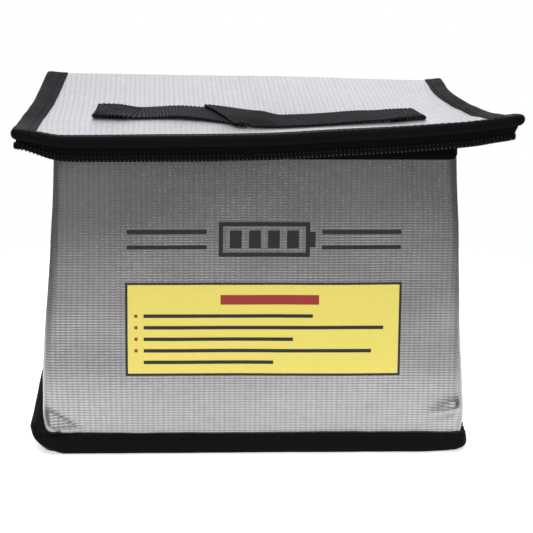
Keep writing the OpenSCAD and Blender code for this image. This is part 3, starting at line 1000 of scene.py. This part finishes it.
# Section of the folded tape, out from the wall and up from the floor, where it hangs and where it flares.
HANGING = [(-0.4, 8.6), (0.4, 9.9), (1.3, 9.8), (1.9, 8.0), (2.5, 5.5), (3.0, 3.0)]
HANGING += [(3.1, 1.4), (2.6, 0.4), (1.6, 0.02), (-0.6, 0.02), (-1.0, 1.2), (-0.8, 5.0)]
FLARED = [(-0.4, 8.6), (0.5, 9.9), (2.6, 10.6), (5.0, 11.6), (7.2, 12.4), (8.4, 12.2)]
FLARED += [(8.9, 11.0), (8.3, 9.6), (5.5, 6.0), (1.5, 0.6), (-1.0, 0.4), (-0.8, 4.0)]


def flare(plan):
    """How far the bound seam is bent up and out: hanging at the front, flared along the left side."""
    x, y = plan[:, 0], plan[:, 1]
    left = smooth((-x - BASE_HALF_W + 9) / 8) * smooth((y + BASE_HALF_D + 9) / 20)
    rear_corner = 1 - 0.6 * smooth((y - 30) / 40)
    right = 0.16 * smooth((x - BASE_HALF_W + 9) / 8)
    return left * rear_corner + right


def build_base_binding():
    """Tape folded round the seam between the walls and the base."""
    middle = base_outline(0)
    outward = base_outline(1) - middle
    bend = flare(middle)
    plan3 = np.concatenate([middle, np.zeros((len(middle), 1))], 1)
    sway = 0.35 * ripple(plan3, 34, 11) + 0.15 * ripple(plan3, 9, 12)
    lean = 1.0 - 1.2 * smooth((middle[:, 0] + BASE_HALF_W) / (2 * BASE_HALF_W))
    lean -= 1.5 * smooth((middle[:, 0] - 84) / 22) * (1 - smooth((middle[:, 1] + 40) / 40))
    rings = np.empty((len(middle), len(HANGING), 3))
    for j, ((d0, z0), (d1, z1)) in enumerate(zip(HANGING, FLARED)):
        d = d0 + (d1 - d0) * bend
        z = z0 + (z1 - z0) * bend
        free = smooth(d / 2.0)
        low = 1 - np.clip(z / 9, 0, 1)
        rings[:, j, :2] = middle + outward * (d + free * (sway + lean * low * (1 - bend)))[:, None]
        rings[:, j, 2] = z + 0.6 * sway * smooth(z / 3)
    weave = plaid(lengths_along(middle), lengths_along(HANGING))
    obj = tube("base_edge_binding", rings, BINDING, weave, loop=True)
    sharpen(obj, 60)
    enlist(obj, "binding", "base_binding", body="bag")
    seam = rings[:, 3] * 0.75 + rings[:, 4] * 0.25
    across_tape = rings[:, 4] - rings[:, 3]
    along_tape = np.gradient(seam, axis=0)
    normal = np.cross(along_tape, across_tape)
    normal *= np.sign((normal[:, :2] * outward).sum(1) + 0.3 * normal[:, 2])[:, None]
    seam = np.concatenate([seam, seam[:1]])
    normal = np.concatenate([normal, normal[:1]])
    row = stitches("base_binding_stitches", seam, normal, pitch=5.3, length=3.4, radius=0.26)
    enlist(row, "thread", "base_binding_thread", body="bag")


def stitches(name, path, normals, pitch, length, radius):
    """Row of stitches: each a short bowed thread that dips into the cloth at both ends."""
    at = lengths_along(path)
    total = at[-1]
    count = int(total / pitch)
    profile = np.linspace(-1, 1, STITCH_RINGS)
    thin = radius * np.sqrt(np.clip(1.02 - profile ** 4, 0.02, 1))
    verts, faces = [], []
    for i in range(count):
        spots = (i + 0.5) * total / count + profile * length / 2
        line = np.stack([np.interp(spots, at, path[:, k]) for k in range(3)], -1)
        up = unit(np.stack([np.interp(spots, at, normals[:, k]) for k in range(3)], -1))
        line = line + up * (radius * 0.9 * (1 - profile ** 2) - radius * 0.7)[:, None]
        side = np.cross(tangents(line), up)
        start = i * STITCH_RINGS * STITCH_SIDES
        verts.append(round_rings(line, side, up, thin[:, None, None], STITCH_SIDES).reshape(-1, 3))
        faces += grid_faces(STITCH_RINGS, STITCH_SIDES, start=start, closed=True)
        faces.append(tuple(start + j for j in range(STITCH_SIDES)))
        last = start + (STITCH_RINGS - 1) * STITCH_SIDES
        faces.append(tuple(last + j for j in reversed(range(STITCH_SIDES))))
    obj = add_object(name, np.concatenate(verts), faces, THREAD)
    fix_normals(obj)
    return obj


# ---------------------------------------------------------------- prints on the front

def front_point(x, z, lift):
    """Point on the front cloth at width x and height z, lifted off it; arrays of one shape."""
    base = np.stack([x, -front_depth(z), z], -1)
    base[..., 1] -= relief_mm("front", base) + lift
    return body_sway(base)


def patch(name, x0, x1, z0, z1, material, lift=0.06):
    """Printed rectangle that follows the cloth."""
    columns = max(2, int((x1 - x0) / 2.0) + 1)
    rows = max(2, int((z1 - z0) / 2.0) + 1)
    x, z = np.meshgrid(np.linspace(x0, x1, columns), np.linspace(z0, z1, rows))
    outer = front_point(x, z, lift)
    inner = front_point(x, z, -0.1)
    return slab(name, outer, inner, material, np.stack([x, z], -1))


def frame_patches(cx, cz, w, h, line):
    """Four dark bars round a rectangle."""
    right, top = cx + w / 2, cz + h / 2
    left, bottom = cx - w / 2, cz - h / 2
    return [
        patch("top", left, right, top - line, top, BLACK_PRINT),
        patch("bottom", left, right, bottom, bottom + line, BLACK_PRINT),
        patch("left", left, left + line, bottom + line, top - line, BLACK_PRINT),
        patch("right", right - line, right, bottom + line, top - line, BLACK_PRINT),
    ]


def build_label():
    """Plain yellow panel with a dark frame, a red heading bar and dark line bars; no lettering."""
    cx = (LABEL_LOW[0] + LABEL_HIGH[0]) / 2
    cz = (LABEL_LOW[2] + LABEL_HIGH[2]) / 2
    w, h = LABEL_HIGH[0] - LABEL_LOW[0], LABEL_HIGH[2] - LABEL_LOW[2]
    line = 1.2
    right, top = w / 2 - line, h / 2 - line
    parts = [patch("panel", cx - right, cx + right, cz - top, cz + top, YELLOW)]
    parts += frame_patches(cx, cz, w, h, line)
    parts.append(patch("heading", cx - 22, cx + 28, cz + h / 2 - 11.5, cz + h / 2 - 6.5, RED_PRINT, 0.12))
    left = cx - w / 2 + 9
    for i, length in enumerate((86, 122, 76, 116, 66)):
        z = cz + h / 2 - 17.5 - i * 6.1
        parts.append(patch("line", left, left + length, z - 0.9, z + 0.9, BLACK_PRINT, 0.12))
        if i < 4:
            parts.append(patch("bullet", left - 4.6, left - 3.0, z - 0.8, z + 0.8, RED_PRINT, 0.12))
    enlist(merge("front_print_panel", parts), "label_print", "front_label", body="bag")


def build_mark():
    """Battery pictogram between double rules, in place of a title."""
    cx = (LABEL_LOW[0] + LABEL_HIGH[0]) / 2
    cz = (MARK_LOW[2] + MARK_HIGH[2]) / 2
    w, h = 46.0, 18.0
    parts = frame_patches(cx, cz, w, h, 2.2)
    parts.append(patch("terminal", cx + w / 2, cx + w / 2 + 2.8, cz - 4, cz + 4, BLACK_PRINT))
    for i in (-1.5, -0.5, 0.5, 1.5):
        parts.append(patch("bar", cx + i * 9.6 - 3, cx + i * 9.6 + 3, cz - 4.6, cz + 4.6, BLACK_PRINT))
    for side in (-1, 1):
        middle = cx + side * (w / 2 + 26)
        for z in (cz - 4, cz + 4):
            parts.append(patch("rule", middle - 20, middle + 20, z - 1.1, z + 1.1, BLACK_PRINT))
    enlist(merge("front_print_mark", parts), "mark_print", "front_mark", body="bag")


# ---------------------------------------------------------------- handle

STRAP_MID_Y = (STRAP_LOW[1] + STRAP_HIGH[1]) / 2
STRAP_W = STRAP_HIGH[1] - STRAP_LOW[1]
STRAP_T = 0.95
TURN = 0.52


def left_course(x):
    """Centre line of the left webbing: askew at its sewn end, drawn forward under the right one."""
    return STRAP_MID_Y + 2.0 + 7.0 * smooth((-58 - x) / 26) - 17.0 * smooth((x + 45) / 60)


def right_course(x):
    """Centre line of the right webbing: it comes out of its fold slanting to the front, then runs back."""
    back = 5.0 * smooth((x - 25) / 45) + 3.0 * smooth((x - 60) / 25)
    return STRAP_MID_Y - 12.8 * smooth((x + 40) / 41) + back


def beside(course, x, c):
    """Plan of the point at distance c across a webbing whose centre line is y = course(x)."""
    slope = (course(x + 0.5) - course(x - 0.5)) / 1.0
    norm = np.sqrt(1 + slope ** 2)
    return x - c * slope / norm, course(x) + c / norm


def fold_profile(under_a, under_b, length, step=RIB / 8):
    """Run of a webbing with its ends folded under: anchor, shift along, level and direction of its face."""
    angles = np.linspace(-math.pi / 2, math.pi / 2, 9)
    half_turn = [(math.cos(a), math.sin(a)) for a in angles]
    run = []
    if under_a:
        run += [(0, TURN + p, -1, 0, -1) for p in np.arange(under_a, 0, -step)]
        run += [(0, TURN * (1 - c), s, -c, s) for c, s in half_turn]
    count = int(length / step)
    start, end = (TURN if under_a else 0), (TURN if under_b else 0)
    for t in np.linspace(0, 1, count)[1:-1]:
        run.append((t, start * (1 - t) - end * t, 1, 0, 1))
    if under_b:
        run += [(1, TURN * (c - 1), s, c, s) for c, s in half_turn[::-1]]
        run += [(1, -TURN - p, -1, 0, -1) for p in np.arange(0, under_b, step)]
    return np.array(run)


def webbing_piece(name, course, line_a, line_b, under_a, under_b, floor_height, spread):
    """Ribbed webbing between two fold lines across it; its heights are measured from the lid's cloth."""
    length = line_b(0.0) - line_a(0.0)
    run = fold_profile(under_a, under_b, length)
    across = np.linspace(-1, 1, 19)
    across = STRAP_W / 2 * across * (1.4 - 0.4 * across ** 2)
    anchor, shift, level, nx, nz = run.T[:, :, None]
    c = np.broadcast_to(across, (len(run), len(across)))
    x = line_a(c) * (1 - anchor) + line_b(c) * anchor + shift
    step_along = np.hypot(np.diff(x[:, 9]), TURN * np.diff(level[:, 0]))
    s = np.concatenate([[0], np.cumsum(step_along)])[:, None]
    wave = np.abs(np.sin(s * math.pi / RIB)) ** 0.8
    edge = smooth((np.abs(c) - STRAP_W / 2 + 1.6) / 1.6)
    thin = (STRAP_T / 2) * (1 - 0.3 * edge) + (0.2 + 0.12 * edge) * wave - 0.06
    notch = np.sign(c) * edge * (0.9 * wave - 0.6)
    slide = spread * (level < 0) * np.where(anchor < 0.5, shift, -shift)
    x, y = beside(course, x, c + notch)
    y = y + slide
    lift = floor_height(x, c) + 0.1 + STRAP_T / 2 + TURN * (1 + level)
    mid = lid_warp(np.stack([x, y, np.full(x.shape, LID_HIGH[2])], -1))
    mid[..., 2] += lift
    normal = np.stack([np.broadcast_to(nx, x.shape), 0 * x, np.broadcast_to(nz, x.shape)], -1)
    weave = np.stack([np.broadcast_to(s, x.shape), c], -1)
    return slab(name, mid + normal * thin[..., None], mid - normal * thin[..., None], WEBBING, weave)


def build_handle():
    """Flat webbing, longer than the gap between its sewn ends, so that it lies folded over itself."""
    left_end, right_end = STRAP_LEFT_LOW[0], STRAP_RIGHT_HIGH[0] - 8.2
    inner_left, inner_right = STRAP_LEFT_HIGH[0], STRAP_RIGHT_LOW[0]

    def left_fold(c):
        return left_end + 1.2 - 0.04 * c

    def left_stop(c):
        return -8.0 + 0 * c

    def left_floor(x, c):
        slack = 0.3 * smooth((x - inner_left) / 20) * (1 + np.sin(x / 9.0))
        return slack - 2 * TURN * smooth((x - left_end - 11) / 12)

    left = webbing_piece(
        "handle_webbing_left", left_course, left_fold, left_stop, under_a=10, under_b=0,
        floor_height=left_floor, spread=0.12
    )
    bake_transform(left)
    enlist(left, "webbing", "handle_left_end", "handle_strap")

    def slanted_fold(c):
        return -18.8 - 0.92 * c

    def right_fold(c):
        return right_end - 0.03 * c

    def right_floor(x, c):
        near_edge = smooth((-c - 4) / 7)
        past_left = np.maximum(smooth((x - 1) / 12), near_edge)
        past_fold = np.maximum(smooth((x - 1) / 12), near_edge * smooth((x + 9) / 7))
        sewn = smooth((right_end - 12 - x) / 14)
        slack = 0.25 * smooth((x - 30) / 12) * sewn * (1 + np.sin(x / 7.0))
        return 1.0 - past_left - 2 * TURN * past_fold * sewn + slack

    right = webbing_piece(
        "handle_webbing_right", right_course, slanted_fold, right_fold, under_a=3, under_b=10,
        floor_height=right_floor, spread=-0.12
    )
    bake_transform(right)
    enlist(right, "webbing", "handle_right_end")
    build_handle_stitches(left_end, right_end)


def build_handle_stitches(left_end, right_end):
    """Box with a cross sewn through each end of the handle."""
    seams = []
    for low, high in ((left_end + 3, left_end + 21), (right_end - 21, right_end - 3)):
        near, far = STRAP_W / 2 - 3, 3 - STRAP_W / 2
        corners = [(low, near), (high, near), (high, far), (low, far), (low, near), (high, far)]
        corners += [(high, near), (low, far)]
        path = resample(np.array(corners, float), 0.8)[0]
        end_side = np.abs(path[:, 0] - (low if low < 0 else high))
        under = 1 - smooth((end_side - 8) / 9)
        lift = 0.1 + STRAP_T + 2 * TURN * under + 0.1
        x, y = beside(left_course if low < 0 else right_course, path[:, 0], path[:, 1])
        flat = np.stack([x, y, np.full(len(path), LID_HIGH[2])], -1)
        points = lid_warp(flat)
        points[:, 2] += lift
        up = np.tile((0, 0, 1.0), (len(points), 1))
        seams.append(stitches("seam", points, up, pitch=2.6, length=2.1, radius=0.2))
    enlist(merge("handle_box_stitches", seams), "thread", "handle_stitches", body="lid")


# ---------------------------------------------------------------- rear fold

def build_hinge_fold():
    """Coated cloth that runs from the rear wall over the fold on to the lid."""
    radius = 1.7
    depth = LID_REAR + 0.25
    top = LID_HIGH[2]
    profile = []
    columns = int(2 * TOP_HALF_W / 3)
    s = np.linspace(-1, 1, columns)
    for z in np.linspace(BACK_TOP - 6, top - radius, 7):
        rise = (z - BACK_TOP + 6) / (top - radius - BACK_TOP + 6)
        profile.append((back_depth(z) + 0.3 + (depth + radius - back_depth(z) - 0.3) * smooth(rise), z))
    for a in np.radians(np.linspace(10, 90, 7)):
        profile.append((depth + radius * math.cos(a), top - radius + radius * math.sin(a)))
    profile.append((LID_REAR + 0.05, top))
    rows = len(profile)
    outer = np.empty((rows, columns, 3))
    for i, (y, z) in enumerate(profile):
        half = TOP_HALF_W + 3.0 * smooth((z - BACK_TOP + 6) / 12)
        outer[i, :, 0] = s * half
        outer[i, :, 1] = y
        outer[i, :, 2] = z
    lift = smooth((outer[..., 2] - BACK_TOP + 4) / 10)
    warped = lid_warp(outer)
    outer = outer + (warped - outer) * lift[..., None]
    push = np.zeros_like(outer)
    tangent = np.gradient(outer, axis=0)
    push[..., 1] = tangent[..., 2]
    push[..., 2] = -tangent[..., 1]
    inner = outer - unit(push) * 0.5
    lengths = lengths_along(profile)
    reach = LID_REAR + lengths[-1] - lengths
    weave = np.stack([outer[..., 0], np.broadcast_to(reach[:, None], outer.shape[:2])], -1)
    obj = slab("rear_fold_cloth", outer, inner, SILVER, weave)
    start = (0, (HINGE_Y + 0.2) * MM, (LID_Z - 2.6) * MM)
    end = (0, (HINGE_Y - 2.6) * MM, (LID_Z + 0.2) * MM)
    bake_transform(obj)
    enlist(obj, "outer_cloth", "hinge_fold")


# ---------------------------------------------------------------- stage

def area_light(name, place, target, size, radiance, colour=(1, 1, 1)):
    """Softbox of an even brightness, hidden from the camera."""
    data = bpy.data.lights.new(name, "AREA")
    data.shape = "RECTANGLE"
    data.size, data.size_y = size
    data.energy = radiance * math.pi * size[0] * size[1]
    data.color = colour
    obj = bpy.data.objects.new(name, data)
    bpy.context.scene.collection.objects.link(obj)
    obj.location = place
    obj.rotation_euler = (Vector(target) - Vector(place)).to_track_quat("-Z", "Y").to_euler()
    obj.visible_camera = False


def build_world(backdrop, surround):
    """White to the camera; a dimmer surround for reflections and fill."""
    world = bpy.data.worlds.new("studio")
    bpy.context.scene.world = world
    world.use_nodes = True
    tree = world.node_tree
    tree.nodes.clear()
    path = tree.nodes.new("ShaderNodeLightPath")
    mix = tree.nodes.new("ShaderNodeMixShader")
    out = tree.nodes.new("ShaderNodeOutputWorld")
    tree.links.new(path.outputs["Is Camera Ray"], mix.inputs[0])
    for slot, colour in ((1, surround), (2, backdrop)):
        light = tree.nodes.new("ShaderNodeBackground")
        light.inputs["Color"].default_value = (*colour, 1)
        tree.links.new(light.outputs[0], mix.inputs[slot])
    tree.links.new(mix.outputs[0], out.inputs[0])


def build_floor(radius=0.34):
    """Round sheet of white paper under the bag."""
    rings = np.linspace(0, radius / MM, 12)[1:]
    angles = np.linspace(0, 2 * math.pi, 64, endpoint=False)
    verts = [(0, 0, 0)]
    for r in rings:
        verts += [(r * math.cos(a), r * math.sin(a), 0) for a in angles]
    faces = [(0, 1 + j, 1 + (j + 1) % 64) for j in range(64)]
    faces += grid_faces(len(rings), 64, start=1, closed=True)
    obj = add_object("floor", verts, faces, floor_paper())
    obj.location.z = -0.0003


def aim_camera(place, pitch, yaw, roll, focal_px, image_px=533):
    """Camera from its place in metres and its angles in degrees."""
    data = bpy.data.cameras.new("camera")
    data.sensor_width = 36
    data.lens = focal_px * data.sensor_width / image_px
    data.clip_start = 0.05
    obj = bpy.data.objects.new("camera", data)
    bpy.context.scene.collection.objects.link(obj)
    p, y, r = (math.radians(v) for v in (pitch, yaw, roll))
    forward = Vector((-math.sin(y) * math.cos(p), math.cos(y) * math.cos(p), -math.sin(p)))
    right = Vector((math.cos(y), math.sin(y), 0))
    up = right.cross(forward)
    right, up = right * math.cos(r) + up * math.sin(r), up * math.cos(r) - right * math.sin(r)
    turn = Matrix((right, up, -forward)).transposed()
    obj.matrix_world = Matrix.Translation(place) @ turn.to_4x4()
    bpy.context.scene.camera = obj


def build_stage():
    build_floor()
    build_world((1, 1, 1), (0.13, 0.115, 0.11))
    area_light("top_softbox", (0, 0.1, 1.2), (0, 0, 0.1), (1.8, 1.3), 2.0)
    area_light("rear_softbox", (0, 1.3, 0.62), (0, 0, 0.17), (2.4, 1.0), 1.42, (0.97, 0.985, 1.03))
    area_light("low_card", (0, -1.2, 0.56), (0, 0, 0.02), (1.3, 0.34), 1.65)
    area_light("front_softbox", (0, -1.1, 1.15), (0, 0, 0.1), (1.6, 0.8), 1.95)
    bpy.context.scene.view_settings.view_transform = "Standard"
    aim_camera((-0.0306, -1.0, 0.3824), pitch=16.93, yaw=-2.2, roll=0.63, focal_px=1929)


# ---------------------------------------------------------------- sliders and pulls

def place_on_side(obj, side, x, y, z):
    """Puts a flat plate upright beside the bag: side is 1 at the right and -1 at the left."""
    turn = Matrix.Diagonal((side, 1, 1, 1)) @ Matrix.Translation(Vector((x, y, z)) * MM) @ TURN_TO_SIDE
    obj.data.transform(turn)
    if side < 0:
        obj.data.flip_normals()
    return obj


def slider_outline(length, height, waist):
    """Outline of a slider's plate: full ends and a drawn-in middle."""
    loop = rounded_loop(length, height, 2.4, arc=8)
    dense = resample(loop + loop[:1], 0.4)[0][:-1]
    return [(u, v * (1 - waist * math.exp(-(u / 2.6) ** 2))) for u, v in dense]


def build_slider(name, side):
    """Two plates joined by a wedge, with guides along their lower edges and a bail on the outer one."""
    low, high = box_mm("right_slider")
    bend = box_mm("right_pull")[1][0] + 0.35
    zip_x = ZIP_HIGH[0] - 0.45
    length, height = high[1] - low[1], high[2] - low[2]
    y, z = (low[1] + high[1]) / 2, (low[2] + high[2]) / 2
    parts = []
    for across in (-1.9, 1.9):
        plate = curve_plate("plate", [slider_outline(length, height, 0.1)], 0.8, 0.28, ENAMEL)
        parts.append(place_on_side(plate, side, zip_x + across, y, z))
        guide_loop = rounded_loop(length - 2.6, 0.95, 0.3, cy=-height / 2 + 0.55)
        guide = curve_plate("guide", [guide_loop], 0.9, 0.2, ENAMEL)
        parts.append(place_on_side(guide, side, zip_x + math.copysign(1.12, across), y, z))
    wedge = curve_plate("wedge", [rounded_loop(4.0, 2.9, 1.2, cy=height / 2 - 1.5)], 3.4, 0.1, ENAMEL)
    parts.append(place_on_side(wedge, side, zip_x, y, z))
    foot, reach = zip_x + 2.2, 3.0
    path = [(foot, -reach, 0), (bend, -reach, 0), (bend + 0.55, -reach + 0.55, 0)]
    path += [(bend + 0.55, reach - 0.55, 0), (bend, reach, 0), (foot, reach, 0)]
    wire = np.array(path) * (side, 1, 1) + (0, y, z)
    parts.append(round_wire("bail", wire, 0.58))
    enlist(merge(name + "_body", parts), "slider_metal", name, body=name)


def round_wire(name, corners, radius):
    """Bent round wire through its corner points."""
    path = resample(corners, 0.25)[0]
    up = np.tile((0, 0, 1.0), (len(path), 1))
    side = unit(np.cross(tangents(path), up))
    return tube(name, round_rings(path, side, up, radius, 16), ENAMEL)


def build_pull(name, side):
    """Flat tab with an eye over the bail's front post, a narrow neck, a hole and two grip ridges."""
    low, high = box_mm("right_pull")
    width = high[1] - low[1]
    x, thickness = (low[0] + high[0]) / 2, high[0] - low[0]
    y, top = (low[1] + high[1]) / 2, high[2]
    length = high[2] - low[2]
    eye = top - width / 2
    drop = length - width
    outline = []
    for v in np.linspace(0, drop, 40):
        neck = 0.72 + 0.28 * smooth(abs(v - 5.2) / 4.5)
        outline.append((width / 2 * neck, -v))
    arc = np.linspace(0, math.pi, 16)[1:-1]
    bottom = [(width / 2 * math.cos(a), -drop - width / 2 * math.sin(a)) for a in arc]
    head = [(width / 2 * math.cos(a), width / 2 * math.sin(a)) for a in arc[::-1]]
    left = [(-u, v) for u, v in reversed(outline)]
    loop = outline + bottom + left + head
    holes = [round_loop(0.72)[::-1], round_loop(1.2, -drop)[::-1]]
    parts = [place_on_side(curve_plate("tab", [loop] + holes, thickness, 0.25, ENAMEL), side, x, y, eye)]
    for k in range(3):
        bar = rounded_loop(width - 1.8, 0.7, 0.3, cy=-10.5 - 1.6 * k)
        ridge = curve_plate("ridge", [bar], thickness + 0.3, 0.2, ENAMEL)
        parts.append(place_on_side(ridge, side, x, y, eye))
    enlist(merge(name + "_tab", parts), "slider_metal", name, body=name)


def build_sliders():
    for name, side in (("left", -1), ("right", 1)):
        build_slider(name + "_slider", side)
        build_pull(name + "_pull", side)


build_walls()
build_base()
build_corner_tapes()
build_rim_binding()
build_lid_layers()
build_lid_binding()
build_lid_zip()
build_body_zip()
build_base_binding()
build_label()
build_mark()
build_handle()
build_hinge_fold()
build_sliders()
build_stage()
